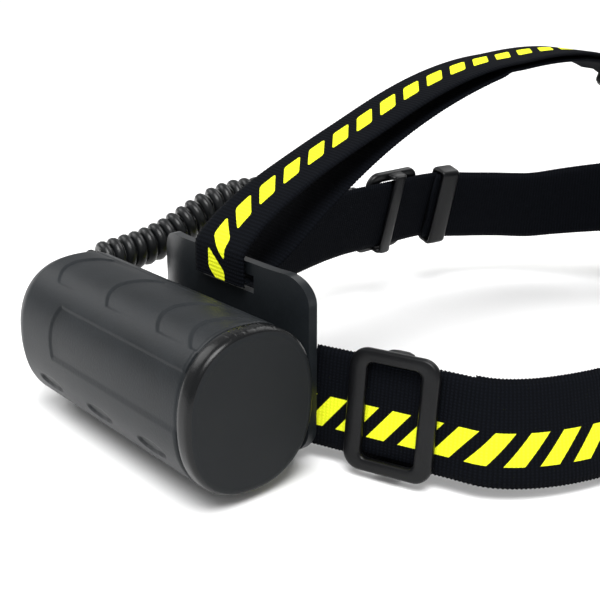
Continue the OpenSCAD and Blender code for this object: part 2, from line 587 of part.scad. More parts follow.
module hinge_pin_right() color([0.6, 0.6, 0.62]) lamp_place() {
    cyl_x(bay_d / 2 + 0.6, ear_x + ear_t + 0.4, pin_d);
    cyl_x(ear_x + ear_t + fit_gap, ear_x + ear_t + 2.4, pin_d + 5);
}
pin_bore_d = cable_d + 0.8;
module hinge_pin_left() color([0.6, 0.6, 0.62]) lamp_place() mirror([1, 0, 0]) difference() {
    cyl_x(bay_d / 2 + 0.6, ear_x + ear_t - 0.3, pin_d);
    cyl_x(0, ear_x + ear_t + 1, pin_bore_d);
}
module friction_washers() color([0.25, 0.25, 0.25]) lamp_place() for (s = [0, 1]) mirror([s, 0, 0]) difference() {
    cyl_x(boss_x + 0.1, ear_x - 0.1, pin_d + 4);
    cyl_x(boss_x - 1, ear_x + 1, pin_d + 2 * run_gap);
}
lamp_gland_l = 12;
module lamp_gland() color([0.07, 0.07, 0.07]) lamp_place() mirror([1, 0, 0]) difference() {
    union() {
        cyl_x(ear_x + ear_t, ear_x + ear_t + 2.2, pin_d + 6);
        cyl_x(ear_x + ear_t + 2, ear_x + ear_t + lamp_gland_l, 6);
        for (i = [0 : 3]) cyl_x(ear_x + ear_t + 3.4 + 2 * i, ear_x + ear_t + 4.6 + 2 * i, 8.6 - 0.4 * i);
    }
    cyl_x(ear_x + ear_t - 1, ear_x + ear_t + 1.4, pin_bore_d);
}

// ---- cable ----
// Routes from the holder plate's middle. The curls run along the left strap.
rear_route = [[case_x0 - plate_x - gland_l, gland_y, gland_z], [-71, -3, 4], [-75.2, -1.8, 4.2],
    [-77.8, 1.6, 5], [-78.4, 6, 6.4], [-77.8, 11, 8.2], [-77, 16, 10]];
curl_route = [[-77, 16, 10], [-77, 29, 11.4], [-76.8, 42, 12.8], [-76.4, 53, 15.4], [-75.8, 63, 19.6],
    [-75, 73, 23.8], [-74, 84, 26], [-73, 96, 25.4], [-71.8, 108, 23.2], [-70.8, 120, 20.2],
    [-70, 132, 17.2], [-69.3, 142, 15.2], [-69, 150, 14.2]];
front_route = [[-69, 150, 14.2], [-68.2, 157, 14.8], [-65.8, 169, 15.8], [-62.5, 182, 16.7], [-59, 196, 16.6],
    [-54.4, 209, 15.2], [-48, 222, 12.8], [-41, 236, 9.8], [-33.5, 250, 6.8], [-26.5, 263, 4.2], [-20, 274, 2.5],
    [lamp_offset - ear_x - ear_t - lamp_gland_l - 2.5, pivot_y, ring_z],
    [lamp_offset - ear_x - ear_t - lamp_gland_l, pivot_y, ring_z]];
function unit(v) = v / norm(v);
function tube_ring(p, t, d, sides) = let (s = unit(cross(t, abs(t[2]) > 0.9 ? [1, 0, 0] : [0, 0, 1])), u = cross(s, t))
    [for (j = [0 : sides - 1]) p + d / 2 * (cos(360 * j / sides) * s + sin(360 * j / sides) * u)];
module tube(route, d, sides) {
    n = len(route) - 1;
    loft([for (i = [0 : n]) tube_ring(route[i],
        unit(i == 0 ? route[1] - route[0] : i == n ? route[n] - route[n - 1]
            : unit(route[i + 1] - route[i]) + unit(route[i] - route[i - 1])), d, sides)]);
}
module cable_rear() color([0.05, 0.05, 0.05]) place() tube(rear_route, cable_d, 10);
module cable_curl() color([0.05, 0.05, 0.05]) place() tube(curl_route, curl_d, 12);
module cable_front() color([0.05, 0.05, 0.05]) place() tube(front_route, cable_d, 10);
clip_l = 7;
clip_reach = 11.4;
clip_h = 9;
clip_low = -1.5;
module cable_clip() color([0.05, 0.05, 0.05]) place()
    on_strap(route_left, drop_left, lean_left, -1, keeper_i) difference() {
        translate([-clip_l / 2, -strap_t / 2 - keeper_slip - keeper_t - clip_reach, clip_low])
            cube([clip_l, clip_reach, clip_h]);
        translate([0, -strap_t / 2 - keeper_slip - keeper_t - clip_reach + clip_h / 2, clip_low + clip_h / 2])
            rotate([0, 90, 4]) cylinder(h = 20, d = cable_d + 1.6, center = true, $fn = 32);
    }

battery_case();
case_cap();
cap_seal();
cap_contact();
cell_upper();
cell_lower();
cell_cradle();
contact_springs();
charge_board();
charge_socket();
socket_flap();
flap_pin();
case_gland();
holder_plate();
rear_pad();
strap_right();
strap_right_return();
strap_left();
strap_left_return();
slider_right();
slider_left();
keeper_right();
keeper_left();
top_strap();
top_strap_return();
slider_top();
front_bracket();
front_pad();
lamp_housing();
housing_back();
back_seal();
back_screws();
heat_sink();
led_board();
led_emitter();
reflector();
lens_carrier();
lens();
lens_seal();
focus_ring();
switch_board();
switch_button();
button_boot();
hinge_pin_right();
hinge_pin_left();
friction_washers();
lamp_gland();
cable_clip();
cable_rear();
cable_curl();
cable_front();
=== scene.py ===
import json
import math

import bpy
import numpy as np
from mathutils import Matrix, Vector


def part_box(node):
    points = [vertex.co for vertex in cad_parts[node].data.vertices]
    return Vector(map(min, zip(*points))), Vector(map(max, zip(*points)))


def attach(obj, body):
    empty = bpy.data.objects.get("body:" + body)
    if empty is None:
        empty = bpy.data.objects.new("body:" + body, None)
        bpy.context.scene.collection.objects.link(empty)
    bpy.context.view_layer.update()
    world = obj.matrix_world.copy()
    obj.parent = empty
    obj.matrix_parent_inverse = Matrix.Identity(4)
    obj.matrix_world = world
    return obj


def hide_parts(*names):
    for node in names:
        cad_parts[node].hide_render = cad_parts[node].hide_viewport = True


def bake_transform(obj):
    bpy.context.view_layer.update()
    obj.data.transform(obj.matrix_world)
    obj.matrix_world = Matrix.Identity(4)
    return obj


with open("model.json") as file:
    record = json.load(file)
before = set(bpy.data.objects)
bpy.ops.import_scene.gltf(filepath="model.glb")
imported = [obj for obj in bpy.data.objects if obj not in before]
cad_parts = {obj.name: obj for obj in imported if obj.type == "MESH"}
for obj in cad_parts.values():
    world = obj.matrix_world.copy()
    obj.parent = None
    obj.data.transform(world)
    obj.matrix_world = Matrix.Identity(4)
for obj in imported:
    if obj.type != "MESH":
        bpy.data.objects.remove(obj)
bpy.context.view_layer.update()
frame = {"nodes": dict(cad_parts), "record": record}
mm = 0.001

# Studio: a pale floor, three soft lamps with even daylight, and the camera, which
# looks down on the battery box and the right strap from behind the wearer's right.
plate_mid = np.array([-20.7069, -146.125, 27.6])    # holder plate's middle, mm


def row(points):
    """Moves points from the holder plate's middle to the frame, in metres."""
    return (np.asarray(points, float) + plate_mid) * mm


camera_data = bpy.data.cameras.new("camera")
camera_data.lens = 63
camera_data.sensor_width = 36
camera_data.clip_start = 0.01
camera = bpy.data.objects.new("camera", camera_data)
camera.location = row([253.5, -162.8, 127.6])
camera.rotation_euler = (math.pi / 2 - 0.341, 0, 0.862)
bpy.context.collection.objects.link(camera)
bpy.context.scene.camera = camera


class Socket:
    """One node output with arithmetic: every operator adds a Math node."""

    def __init__(self, tree, link):
        self.tree, self.link = tree, link

    def node(self, kind, settings=None, out=0, **inputs):
        """Adds a node of a kind, its settings first, then its sockets' values or links. A socket
        is named, with _ for a space, or numbered, as i0."""
        made = self.tree.nodes.new(kind)
        for name, value in (settings or {}).items():
            setattr(made, name, value)
        for name, value in inputs.items():
            key = int(name[1:]) if name[0] == "i" and name[1:].isdigit() else name.replace("_", " ")
            if isinstance(value, Socket):
                self.tree.links.new(value.link, made.inputs[key])
            else:
                made.inputs[key].default_value = value
        return Socket(self.tree, made.outputs[out])

    def math(self, operation, other=0.0, first=None):
        """Adds a Math node that works on this output, or on first, and on other."""
        return self.node("ShaderNodeMath", {"operation": operation},
                         i0=self if first is None else first, i1=other)

    def __add__(self, other):
        return self.math("ADD", other)

    def __radd__(self, other):
        return self.math("ADD", other)

    def __sub__(self, other):
        return self.math("SUBTRACT", other)

    def __rsub__(self, other):
        return self.math("SUBTRACT", self, other)

    def __mul__(self, other):
        return self.math("MULTIPLY", other)

    def __rmul__(self, other):
        return self.math("MULTIPLY", other)

    def __truediv__(self, other):
        return self.math("DIVIDE", other)

    def __lt__(self, other):
        return self.math("LESS_THAN", other)

    def ramp(self, low, high, to_low=0.0, to_high=1.0):
        """Eases from to_low at low to to_high at high."""
        return self.node("ShaderNodeMapRange", {"interpolation_type": "SMOOTHSTEP"},
                         i0=self, i1=low, i2=high, i3=to_low, i4=to_high)


def finish(name, base, roughness, metallic=0.0, specular=0.5, **fixed):
    """Starts a material: returns it, its shader and a socket to write maths from."""
    made = bpy.data.materials.new(name)
    made.use_nodes = True
    shader = made.node_tree.nodes["Principled BSDF"]
    shader.inputs["Base Color"].default_value = (*base, 1)
    shader.inputs["Roughness"].default_value = roughness
    shader.inputs["Metallic"].default_value = metallic
    shader.inputs["Specular IOR Level"].default_value = specular
    for key, value in fixed.items():
        shader.inputs[key.replace("_", " ")].default_value = value
    place = made.node_tree.nodes.new("ShaderNodeTexCoord")
    return made, shader, Socket(made.node_tree, place.outputs["Object"])


def feed(shader, name, value):
    """Links an output to a named socket of a shader."""
    value.tree.links.new(value.link, shader.inputs[name])


def noise(at, scale, detail=2.0, rough=0.5):
    """Soft noise with a grain of about 1/scale metres."""
    return at.node("ShaderNodeTexNoise", Vector=at, Scale=scale, Detail=detail, Roughness=rough)


def tint(at, share, low, high):
    """Mixes two colours by a share."""
    return at.node("ShaderNodeMix", {"data_type": "RGBA"}, out=2, i0=share, i6=(*low, 1), i7=(*high, 1))


floor_half = 6.0
floor_mesh = bpy.data.meshes.new("floor")
floor_mesh.from_pydata([(x * floor_half, y * floor_half, 0) for x, y in ((-1, -1), (1, -1), (1, 1), (-1, 1))],
                       [], [(0, 1, 2, 3)])
floor = bpy.data.objects.new("floor", floor_mesh)
bpy.context.collection.objects.link(floor)
paper, paper_shader, paper_at = finish("paper", (0.93, 0.93, 0.93), 0.9, specular=0.1)
feed(paper_shader, "Base Color",
     tint(paper_at, noise(paper_at, 3.0), (0.92, 0.92, 0.92), (0.94, 0.94, 0.94)))
floor_mesh.materials.append(paper)

world = bpy.data.worlds.new("studio")
world.use_nodes = True
world.node_tree.nodes["Background"].inputs["Color"].default_value = (1, 1, 1, 1)
world.node_tree.nodes["Background"].inputs["Strength"].default_value = 0.5
bpy.context.scene.world = world
bpy.context.scene.view_settings.view_transform = "Standard"
aim = np.array([0.0, -0.05, 0.05])
soft_lamps = (("key", (0.5, -0.45, 1.25), 0.6, 8),
              ("fill", (-1.0, -0.5, 0.9), 0.7, 5),
              ("back", (-0.2, 0.9, 1.0), 0.8, 5))
for name, at, size, power in soft_lamps:
    lamp_data = bpy.data.lights.new(name, "AREA")
    lamp_data.shape, lamp_data.size, lamp_data.energy = "SQUARE", size, power
    lamp_light = bpy.data.objects.new(name, lamp_data)
    lamp_light.location = at
    away = np.array(at) - aim
    lamp_light.rotation_euler = (math.atan2(math.hypot(away[0], away[1]), away[2]), 0,
                                 math.atan2(away[0], -away[1]))
    bpy.context.collection.objects.link(lamp_light)
daylight_data = bpy.data.lights.new("daylight", "SUN")
daylight_data.energy, daylight_data.angle = 2.2, 0.7
daylight = bpy.data.objects.new("daylight", daylight_data)
daylight.rotation_euler = (0.35, 0.3, 0)
bpy.context.collection.objects.link(daylight)

# Curly cable: one black polyurethane-jacketed lead wound into a spring. It
# leaves the gland on the box's far end, runs plain to the curls, lies along
# the outside of the left strap, and goes straight on to the lamp's pivot.
jacket_d = 4.2
curl_d = 14.4
turn_pitch = 4.7
swell = 9 * mm          # length over which the curl grows to its full diameter
swell_start = 1 * mm    # how far before the curl line's end it starts to grow
route_step = 0.28 * mm  # between points of the route before it is wound
lead_step = 1.1 * mm    # between rings of the finished lead
plain_start = row([[-68.5, -3, 4], [-71, -3, 4], [-75.2, -1.8, 4.2], [-77.8, 1.6, 5], [-78.4, 6, 6.4],
                   [-77.8, 11, 8.2], [-77, 16, 10]])
curl_line = row([[-77, 16, 10], [-77, 29, 11.4], [-76.8, 42, 12.8], [-76.4, 53, 15.4], [-75.8, 63, 19.6],
                 [-75, 73, 23.8], [-74, 84, 26], [-73, 96, 25.4], [-71.8, 108, 23.2], [-70.8, 120, 20.2],
                 [-70, 132, 17.2], [-69.3, 142, 15.2], [-69, 150, 14.2]])
plain_end = row([[-69, 150, 14.2], [-68.2, 157, 14.8], [-65.8, 169, 15.8], [-62.5, 182, 16.7],
                 [-59, 196, 16.6], [-54.4, 209, 15.2], [-48, 222, 12.8], [-41, 236, 9.8],
                 [-33.5, 250, 6.8], [-26.5, 263, 4.2], [-20, 273.5, 1.6], [-15, 278.6, -1],
                 [-11, 280, -1.6]])


def smooth_line(points, step):
    """A Catmull-Rom curve through points, the cubic 1/2 (2b + (c-a)t + (2a-5b+4c-d)t^2 +
    (3b-a-3c+d)t^3) between b and c, sampled evenly every step metres."""
    p = np.vstack([2 * points[0] - points[1], points, 2 * points[-1] - points[-2]])
    u = np.linspace(0, len(points) - 1 - 1e-9, len(points) * 40)
    k = u.astype(int)
    t = (u - k)[:, None]
    a, b, c, d = p[k], p[k + 1], p[k + 2], p[k + 3]
    line = 0.5 * (2 * b + (c - a) * t + (2 * a - 5 * b + 4 * c - d) * t ** 2
                  + (3 * b - a - 3 * c + d) * t ** 3)
    run = np.concatenate([[0], np.cumsum(np.linalg.norm(np.diff(line, axis=0), axis=1))])
    even = np.linspace(0, run[-1], max(int(run[-1] / step), 2) + 1)
    return np.stack([np.interp(even, run, line[:, i]) for i in range(3)], 1), even


def wound_line():
    """The lead's centreline, round the curl line at a radius that swells at each end, and its
    spokes. Each point is line + r spoke, where spoke is side cos a + up sin a, and a grows by
    a turn a pitch."""
    along, run = smooth_line(np.vstack([plain_start[:-1], curl_line, plain_end[1:]]), route_step)
    starts = np.linalg.norm(along - curl_line[0], axis=1).argmin()
    ends = np.linalg.norm(along - curl_line[-1], axis=1).argmin()
    ease = (np.clip((run - run[starts] + swell_start) / swell, 0, 1)
            * np.clip((run[ends] + swell_start - run) / swell, 0, 1))
    ease = ease * ease * (3 - 2 * ease)
    ahead = np.gradient(along, axis=0)
    ahead /= np.linalg.norm(ahead, axis=1)[:, None]
    side = np.cross(ahead, [0, 0, 1.0])
    side /= np.linalg.norm(side, axis=1)[:, None]
    up = np.cross(side, ahead)
    angle = 2 * math.pi * np.cumsum(np.gradient(run) * ease) / (turn_pitch * mm)
    radius = (curl_d - jacket_d) / 2 * mm * ease
    spoke = side * np.cos(angle)[:, None] + up * np.sin(angle)[:, None]
    return along + radius[:, None] * spoke, spoke


def keep_every(line, spoke, step):
    """Thins a dense line and its spokes to even steps; also gives the length run at each."""
    run = np.concatenate([[0], np.cumsum(np.linalg.norm(np.diff(line, axis=0), axis=1))])
    even = np.linspace(0, run[-1], int(run[-1] / step) + 1)
    thin, thin_spoke = (np.stack([np.interp(even, run, v[:, i]) for i in range(3)], 1)
                        for v in (line, spoke))
    return thin, thin_spoke, even


def grid_mesh(name, points, around=False, uv=None, caps=False):
    """Mesh of a grid of points [rows, columns, 3]; around joins the last column to the first and
    turns the faces outwards, so that the volume, the sum of p . (q x s + s x t), isn't negative.
    uv is a grid [rows, columns, 2]. caps close the first and last rows."""
    rows, cols = points.shape[:2]
    r, c = np.meshgrid(np.arange(rows - 1), np.arange(cols if around else cols - 1), indexing="ij")
    n = (c + 1) % cols
    quads = np.stack([r * cols + c, r * cols + n, (r + 1) * cols + n, (r + 1) * cols + c], -1).reshape(-1, 4)
    verts = points.reshape(-1, 3)
    first = list(range(cols))[::-1]
    last = [(rows - 1) * cols + k for k in range(cols)]
    if around:
        p, q, s, t = (verts[quads[:, k]] - verts.mean(axis=0) for k in range(4))
        if (p * (np.cross(q, s) + np.cross(s, t))).sum() < 0:
            quads, first, last = quads[:, ::-1], first[::-1], last[::-1]
    faces = quads.tolist() + ([first, last] if caps else [])
    mesh = bpy.data.meshes.new(name)
    mesh.from_pydata(verts, [], faces)
    if uv is not None:
        layer = mesh.uv_layers.new(name="along")
        corners = np.zeros(len(mesh.loops), np.int32)
        mesh.loops.foreach_get("vertex_index", corners)
        layer.data.foreach_set("uv", uv.reshape(-1, 2)[corners].ravel())
    mesh.polygons.foreach_set("use_smooth", [True] * len(mesh.polygons))
    mesh.update()
    made = bpy.data.objects.new(name, mesh)
    bpy.context.collection.objects.link(made)
    return made


def tube(line, spoke, radius, sides):
    """Rings of a round tube along a line: each point is line + radius (side cos a + up sin a),
    where side is the curl's spoke squared to the line, so that the tube doesn't twist."""
    ahead = np.gradient(line, axis=0)
    ahead /= np.linalg.norm(ahead, axis=1)[:, None]
    side = spoke - (spoke * ahead).sum(axis=1)[:, None] * ahead
    side /= np.maximum(np.linalg.norm(side, axis=1), 1e-9)[:, None]
    up = np.cross(side, ahead)
    a = np.linspace(0, 2 * math.pi, sides, endpoint=False)[None, :, None]
    return line[:, None] + radius * (side[:, None] * np.cos(a) + up[:, None] * np.sin(a))


def bump(at, height, depth, strength=1.0):
    """Normal of a surface raised by height times depth metres."""
    return at.node("ShaderNodeBump", Height=height, Distance=depth, Strength=strength)


def grained(name, base, lift, roughness, grain, depth, rough_swing=0.08, specular=0.5, blotch=60.0,
            **fixed):
    """Moulded surface: fine grain in the normal, slow change in colour and roughness."""
    made, shader, at = finish(name, base, roughness, specular=specular, **fixed)
    slow = noise(at, blotch, 3.0)
    fine = noise(at, grain, 3.0, 0.6)
    feed(shader, "Base Color", tint(at, slow.ramp(0.3, 0.7) * 0.7 + fine.ramp(0.35, 0.7) * 0.3, base, lift))
    feed(shader, "Roughness", roughness - rough_swing / 2 + slow * rough_swing)
    feed(shader, "Normal", bump(at, fine, depth))
    return made


lead_path, lead_spoke, lead_run = keep_every(*wound_line(), lead_step)
lead = grid_mesh("curly_lead", tube(lead_path, lead_spoke, jacket_d / 2 * mm, 12), around=True,
                 caps=True)
jacket = grained("cable_jacket", (0.004, 0.0045, 0.005), (0.009, 0.010, 0.011), 0.3, 2600,
                 0.00004, specular=0.3)
lead.data.materials.append(jacket)
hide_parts("cable_rear", "cable_curl", "cable_front")
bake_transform(lead)

# Battery box: a moulded polymer drum with a soft rubber skin round it. The
# skin is stepped like scales over the top, has a sunk panel on the rear and
# three lens-shaped finger notches along the bottom edge.
drum_x0, drum_x1 = -58.5, 37.9                # the box's far end and its edge at the cap
drum_h, drum_d, drum_power = 48.0, 43.5, 2.3  # height, depth and roundness of its section
rubber_t = 0.65
slot_half = 5.9                               # half the skin's gap, where the rail runs
scale_starts = (-44.2, -14.9, 12.7, 28.7)     # where each scale's step crosses its middle
scale_bow, scale_fade = 6.2, 8.5
panel_start, panel_bow = -32.2, 2.6           # the sunk panel's far end
notch_middles = (-36.3, -6.2, 22.6)
notch_half, notch_spread = 7.4, 5.4           # along the box in mm, round it in degrees
end_round = 8.2                               # length over which the far end is drawn in


def drum_outline(angle, inset):
    """Superellipse |y/b|^p + |z/a|^p = 1 of the box's section: y and z at an angle from the
    plate's side, inset mm inside the drum."""
    c, s = np.cos(angle), np.sin(angle)
    y = (drum_d / 2 - inset) * np.sign(c) * np.abs(c) ** (2 / drum_power)
    z = (drum_h / 2 - inset) * np.sign(s) * np.abs(s) ** (2 / drum_power)
    return y, z


def step_up(value, low, high):
    """Eases from 0 at low to 1 at high."""
    t = np.clip((value - low) / (high - low), 0, 1)
    return t * t * (3 - 2 * t)


def skin_height(x, angle):
    """How far the rubber stands proud at x mm along the box and at a section angle in degrees.
    Each scale starts with a step down on a bowed line and climbs back as it fades."""
    proud = np.full_like(x, rubber_t)
    top = step_up(angle, 76.5, 78.5) * (1 - step_up(angle, 125.2, 126.2))
    for start in scale_starts:
        past = x - (start + scale_bow * ((angle - 103) / 24) ** 2)
        fade = np.exp(-np.maximum(past, 0) / scale_fade) * step_up(past, -0.1, 0.45)
        proud -= top * (0.40 * fade + 0.12 * np.exp(-((past - 0.3) / 0.4) ** 2))
        proud += top * 0.10 * np.exp(np.minimum(past, 0) / 2.5) * (past < 0)
    # sunk panel on the rear, bowed at its far end, open towards the cap
    far = panel_start + panel_bow * ((angle - 167) / 24) ** 2
    panel = (step_up(x, far - 0.35, far + 0.35) * step_up(angle, 142.9, 144.1)
             * (1 - step_up(angle, 181, 182.2)))
    proud -= 0.42 * panel
    # finger notches along the lower rear edge
    for middle in notch_middles:
        bowl = ((x - middle) / notch_half) ** 2 + ((angle - 205.5) / notch_spread) ** 2
        proud -= (rubber_t + 0.1) * (1 - step_up(bowl, 0.7, 1.0))
    # seam along the top beside the plate
    proud -= 0.30 * np.exp(-((angle - 75) / 0.8) ** 2)
    return proud


def end_inset(from_end):
    """How far the skin is drawn in near the box's far end: the mean of a straight chamfer and
    of a quarter that falls as 1 - sqrt(u) over end_round mm."""
    chamfer = np.where(from_end < 2.2, 5 - 3.2 * from_end / 2.2, np.clip(1.8 * (7 - from_end) / 4.8, 0, 1.8))
    bowed = np.clip(5 * (1 - np.sqrt(np.clip(from_end / end_round, 0, 1))), 0, 5)
    return np.where(from_end < end_round, 0.5 * chamfer + 0.5 * bowed, chamfer)


gap_angle = math.degrees(math.asin((slot_half / (drum_h / 2)) ** (drum_power / 2)))
skin_x = np.linspace(drum_x0 + 0.5, drum_x1 - 0.1, 176)
skin_a = np.linspace(gap_angle, 360 - gap_angle, 250)
X, A = np.meshgrid(skin_x, skin_a, indexing="ij")
proud = skin_height(X, A)
edge_turn = 1.4                               # degrees over which its long edges are turned down
edge = np.minimum(step_up(X, drum_x0 + 0.5, drum_x0 + 1.6), 1 - step_up(X, drum_x1 - 0.9, drum_x1 - 0.1))
edge = np.minimum(edge, step_up(A, gap_angle, gap_angle + edge_turn))
edge = np.minimum(edge, 1 - step_up(A, 360 - gap_angle - edge_turn, 360 - gap_angle))
proud = proud * edge - 0.25 * (1 - edge)
skin_y, skin_z = drum_outline(np.radians(A), end_inset(X - drum_x0) - proud)
skin = grid_mesh("box_skin", row(np.stack([X, skin_y, skin_z], -1)))
rubber = grained("case_rubber", (0.008, 0.0098, 0.0115), (0.013, 0.0155, 0.018), 0.44, 1500,
                 0.00007, 0.12, specular=0.22, blotch=90)
skin.data.materials.append(rubber)
wall = skin.modifiers.new("wall", "SOLIDIFY")
wall.thickness, wall.offset = 0.3 * mm, -1
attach(skin, "battery")

# Cap cover: the cap's glossy outer moulding, pressed over its frame. Its rim
# is rounded, its end face is a shade sunk, and short ribs for the thumb run
# across its top.
rim_r = 2.45
rib_count, rib_rise = 118, 0.28     # ribs in a full turn, and how far each stands up


def cap_shell():
    """Rows of the drum's outline from the seam, over the rim's quarter circle of rim_r, to the
    middle of the face. Each row is the outline at an inset, deep, and a place along the box.
    The ribs are raised where the cosine of rib_count times the angle is over 0.1."""
    a = np.linspace(0, 360, 288, endpoint=False)[None]
    turn = np.radians(np.linspace(0, 90, 8))
    along = np.concatenate([[38.52, 38.5, 38.55, 38.9, 40.0, 42.0], 42.1 + rim_r * np.sin(turn),
                            [44.5, 44.42, 44.4, 44.4]])
    deep = np.concatenate([[2.2, 0.2, -0.42, -0.6, -0.62, -0.62], 1.85 - rim_r * np.cos(turn),
                           [2.2, 2.5, 4.5, 15.0]])
    along, deep = along[:, None], deep[:, None]
    rib = (np.cos(np.radians(a) * rib_count) > 0.1) * step_up(a, 68, 69) * (1 - step_up(a, 104, 105))
    rib = rib * step_up(along, 38.8, 39.0) * (1 - step_up(along, 42.6, 43.4)) * rib_rise
    y, z = drum_outline(np.radians(a), deep - rib)
    return np.stack([along * np.ones_like(a), y, z], -1)


cover = grid_mesh("cap_cover", row(cap_shell()), around=True, caps=True)
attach(cover, "cap")

# Moulded, metal and electronic parts that keep their exact solids: each gets
# the finish of its real material. The finishes are named for the slots.
finishes = {"case_rubber": rubber, "cable_jacket": jacket}


def cap_finish():
    """Glossy moulded cap: its rim shines, its flat end face is matte with a fine grain."""
    made, shader, at = finish("black_gloss", (0.004, 0.0045, 0.005), 0.2, specular=0.26)
    axis = at.node("ShaderNodeSeparateXYZ", Vector=at)
    face = axis.ramp((plate_mid[0] + 43.95) * mm, (plate_mid[0] + 44.25) * mm)
    fine = noise(at, 1900, 3.0, 0.6)
    slow = noise(at, 45, 2.0)
    feed(shader, "Roughness", 0.2 + face * 0.42 + slow * 0.08)
    feed(shader, "Base Color", tint(at, face, (0.003, 0.0035, 0.004), (0.006, 0.0075, 0.009)))
    feed(shader, "Normal", bump(at, fine, 0.00003))
    return made


def metal_finish(name, base, roughness, brush, depth=0.00001):
    """Bare metal with a fine turned or drawn grain and slow stains."""
    made, shader, at = finish(name, base, roughness, metallic=1.0)
    slow = noise(at, 90, 3.0)
    fine = noise(at, brush, 2.0)
    feed(shader, "Roughness", roughness - 0.06 + slow * 0.12)
    feed(shader, "Base Color", tint(at, slow, tuple(0.86 * v for v in base), base))
    feed(shader, "Normal", bump(at, fine, depth))
    return made


def board_finish():
    """Circuit board: green mask with gold pads where a square cell pattern is under 0.16."""
    made, shader, at = finish("board", (0.02, 0.12, 0.05), 0.35)
    cells = at.node("ShaderNodeTexVoronoi", {"distance": "CHEBYCHEV"}, Vector=at, Scale=420.0, Randomness=0.6)
    pads = cells < 0.16
    feed(shader, "Base Color", tint(at, pads, (0.02, 0.12, 0.05), (0.55, 0.42, 0.14)))
    feed(shader, "Metallic", pads * 0.9)
    feed(shader, "Normal", bump(at, cells, 0.00005))
    return made


def emitter_finish():
    """White light-emitting diode: yellow phosphor under clear resin."""
    made, shader, at = finish("led", (0.9, 0.75, 0.2), 0.25, Coat_Weight=0.6, Coat_Roughness=0.05)
    feed(shader, "Base Color", tint(at, noise(at, 1400), (0.86, 0.70, 0.16), (0.94, 0.82, 0.35)))
    return made


def glass_finish():
    """Clear moulded lens."""
    made, shader, at = finish("lens", (0.97, 0.985, 1.0), 0.03, Transmission_Weight=1.0, IOR=1.49)
    feed(shader, "Roughness", 0.02 + noise(at, 60) * 0.04)
    return made


finishes["black_gloss"] = cap_finish()
cover.data.materials.append(finishes["black_gloss"])
finishes["seal_rubber"] = grained("seal_rubber", (0.016, 0.016, 0.017), (0.026, 0.026, 0.028),
                                  0.6, 1800, 0.00004)
finishes["black_plastic"] = grained("black_plastic", (0.003, 0.003, 0.0036), (0.006, 0.0066, 0.0075),
                                    0.32, 1500, 0.00004, 0.12, specular=0.22)
finishes["plate_plastic"] = grained("plate_plastic", (0.008, 0.0098, 0.0115), (0.013, 0.0155, 0.018),
                                    0.3, 1300, 0.00004, 0.12, specular=0.26)
finishes["lamp_black"] = grained("lamp_black", (0.022, 0.023, 0.026), (0.034, 0.036, 0.040),
                                 0.36, 2200, 0.00003, 0.1, Metallic=0.7)
finishes["cell_wrap"] = grained("cell_wrap", (0.03, 0.10, 0.28), (0.04, 0.13, 0.34), 0.3, 800, 0.00002)
finishes["washer_plastic"] = grained("washer_plastic", (0.60, 0.58, 0.52), (0.68, 0.66, 0.60),
                                     0.45, 1200, 0.00003)
finishes["brass"] = metal_finish("brass", (0.78, 0.60, 0.28), 0.28, 1500)
finishes["steel"] = metal_finish("steel", (0.62, 0.63, 0.65), 0.28, 1600)
finishes["aluminium"] = metal_finish("aluminium", (0.72, 0.73, 0.75), 0.34, 1800)
finishes["chrome"] = metal_finish("chrome", (0.92, 0.93, 0.94), 0.08, 500, 0.000002)
finishes["board"] = board_finish()
finishes["led"] = emitter_finish()
finishes["lens"] = glass_finish()
for part in frame["record"]["subparts"]:
    shown = frame["nodes"][part["node"]]
    if part["material_slot"] in finishes:
        shown.data.materials.clear()
        shown.data.materials.append(finishes[part["material_slot"]])

# Side straps: knitted elastic with covered rubber threads, picot edges and a
# neon yellow pattern printed on the outside. Each runs from the holder plate to the
# lamp's bracket, with the layer that is folded back behind it from its slider on.
strap_t = 1.6
band_w = 32.0
rib_pitch = 1.25
thread_pitch = 0.95
print_lean = 0.8        # how far a mark leans along the strap for each length across it
slant_pitch, slant_low = 10.3 * mm, 4.2 * mm
square_pitch, square_high = 10.4 * mm, 0.6 * mm
face_points = 15        # points across each face of a band's section
edge_share = 0.86       # share of the half width past which the picots swell
fold_gap = 2.2          # from the middle of a strap to the layer folded back behind it
ring_step = 0.32        # length between a band's sections
unprinted = 0.06        # shift of the map on the inner face and edges, past the print
start_x, start_y = 34, 31.15                    # where both straps leave the holder plate
leave_angle = math.radians(20)
leave = [math.cos(leave_angle), math.sin(leave_angle)]
line_r = [[start_x, start_y], [start_x + 50 * leave[0], start_y + 50 * leave[1]], [105, 120], [64, 244]]
line_l = [[-start_x, start_y], [-54, 124], [-54, 174], [-4, 244]]
drop_r = [[0, -6.8], [5, -6.8], [9, -8], [12, -8.6], [17, -7], [21, -5], [27, 14]]
drop_l = [[0, -6.8], [5, 4], [10, 12], [15, 12], [18, 9.6], [22, 8], [27, 14]]
lean_r = [[0, 8], [5, 8], [10, 15], [15, 15], [23, 12], [27, 2]]
lean_l = [[0, 6], [10, 15], [21, 15], [27, 2]]


def bezier(p, t):
    """Cubic Bezier through four control points at shares t."""
    p, t = np.asarray(p, float), np.asarray(t)[:, None]
    return (1 - t) ** 3 * p[0] + 3 * t * (1 - t) ** 2 * p[1] + 3 * t ** 2 * (1 - t) * p[2] + t ** 3 * p[3]


def right_plan(s):
    """Plan of the right strap at station s, from 0 at the plate to 27 at the bracket."""
    a, b, c, d = (np.array(p, float) for p in line_r)
    out = np.array(leave)
    straight = a + (b - a) * (np.clip(s, 0, 5) / 5)[:, None]
    near = bezier([b, b + 14 * out, c - [0, 36], c], np.clip((s - 5) / 10, 0, 1))
    far = bezier([c, c + [0, 55], d + [32, -10], d], np.clip((s - 15) / 12, 0, 1))
    return np.where((s < 5)[:, None], straight, np.where((s < 15)[:, None], near, far))


